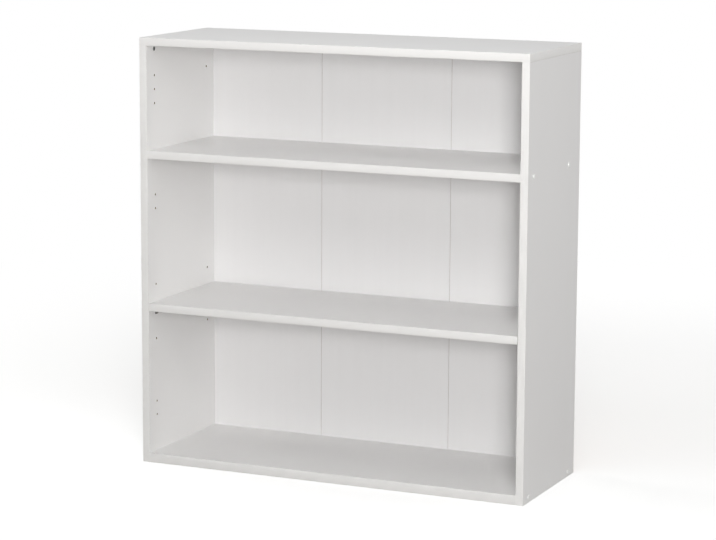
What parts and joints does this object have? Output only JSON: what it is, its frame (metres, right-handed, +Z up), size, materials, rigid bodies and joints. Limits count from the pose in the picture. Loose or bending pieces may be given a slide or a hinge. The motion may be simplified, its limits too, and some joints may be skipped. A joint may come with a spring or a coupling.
{
  "type": "open bookcase",
  "caption": "Open bookcase with a top laid over its sides, a screwed shelf, a loose shelf on pins in drilled rows, and a folding hardboard back.",
  "frame": {"origin": "on the floor, under the middle of the case's bounding box", "axes": "+Z up, +X to the right as seen from the front, the open front towards -Y"},
  "size_m": [0.9484, 0.3332, 0.988],
  "materials": {
    "melamine_board": "chipboard faced with satin white melamine foil, raw chipboard where no edge band is glued on",
    "edge_band": "satin white ABS edge band, 1 mm",
    "hardboard": "3 mm hardboard, front face lacquered white, rear face raw brown",
    "hinge_tape": "white film tape",
    "support_nickel": "nickel-plated die-cast zinc",
    "zinc_steel": "zinc-plated steel",
    "cam_zinc": "dark die-cast zinc",
    "housing_plastic": "moulded white plastic",
    "cap_plastic": "moulded white plastic",
    "beech": "turned beech"
  },
  "bodies": {
    "case": {"top_board": "melamine_board", "top_board_front_edge": "edge_band", "top_board_left_edge": "edge_band", "top_board_right_edge": "edge_band", "left_side": "melamine_board", "left_side_front_edge": "edge_band", "right_side": "melamine_board", "right_side_front_edge": "edge_band", "fixed_shelf": "melamine_board", "fixed_shelf_front_edge": "edge_band", "bottom_board": "melamine_board", "bottom_board_front_edge": "edge_band", "shelf_supports": "support_nickel", "fixed_shelf_screws": "zinc_steel", "bottom_board_screws": "zinc_steel", "screw_caps": "cap_plastic", "connector_housings": "housing_plastic", "connector_cams": "cam_zinc", "connector_bolts": "zinc_steel", "top_dowels": "beech", "back_leaf_left": "hardboard", "back_leaf_centre": "hardboard", "back_leaf_right": "hardboard", "back_hinge_tape_left": "hinge_tape", "back_hinge_tape_right": "hinge_tape"},
    "loose_shelf": {"adjustable_shelf": "melamine_board", "adjustable_shelf_front_edge": "edge_band", "adjustable_shelf_back_edge": "edge_band", "adjustable_shelf_left_edge": "edge_band", "adjustable_shelf_right_edge": "edge_band"}
  },
  "joints": [
    {"name": "shelf_pull_out", "type": "slide", "parent": "case", "child": "loose_shelf", "axis": [0, -1, 0], "range_m": [0, 0.33]}
  ]
}
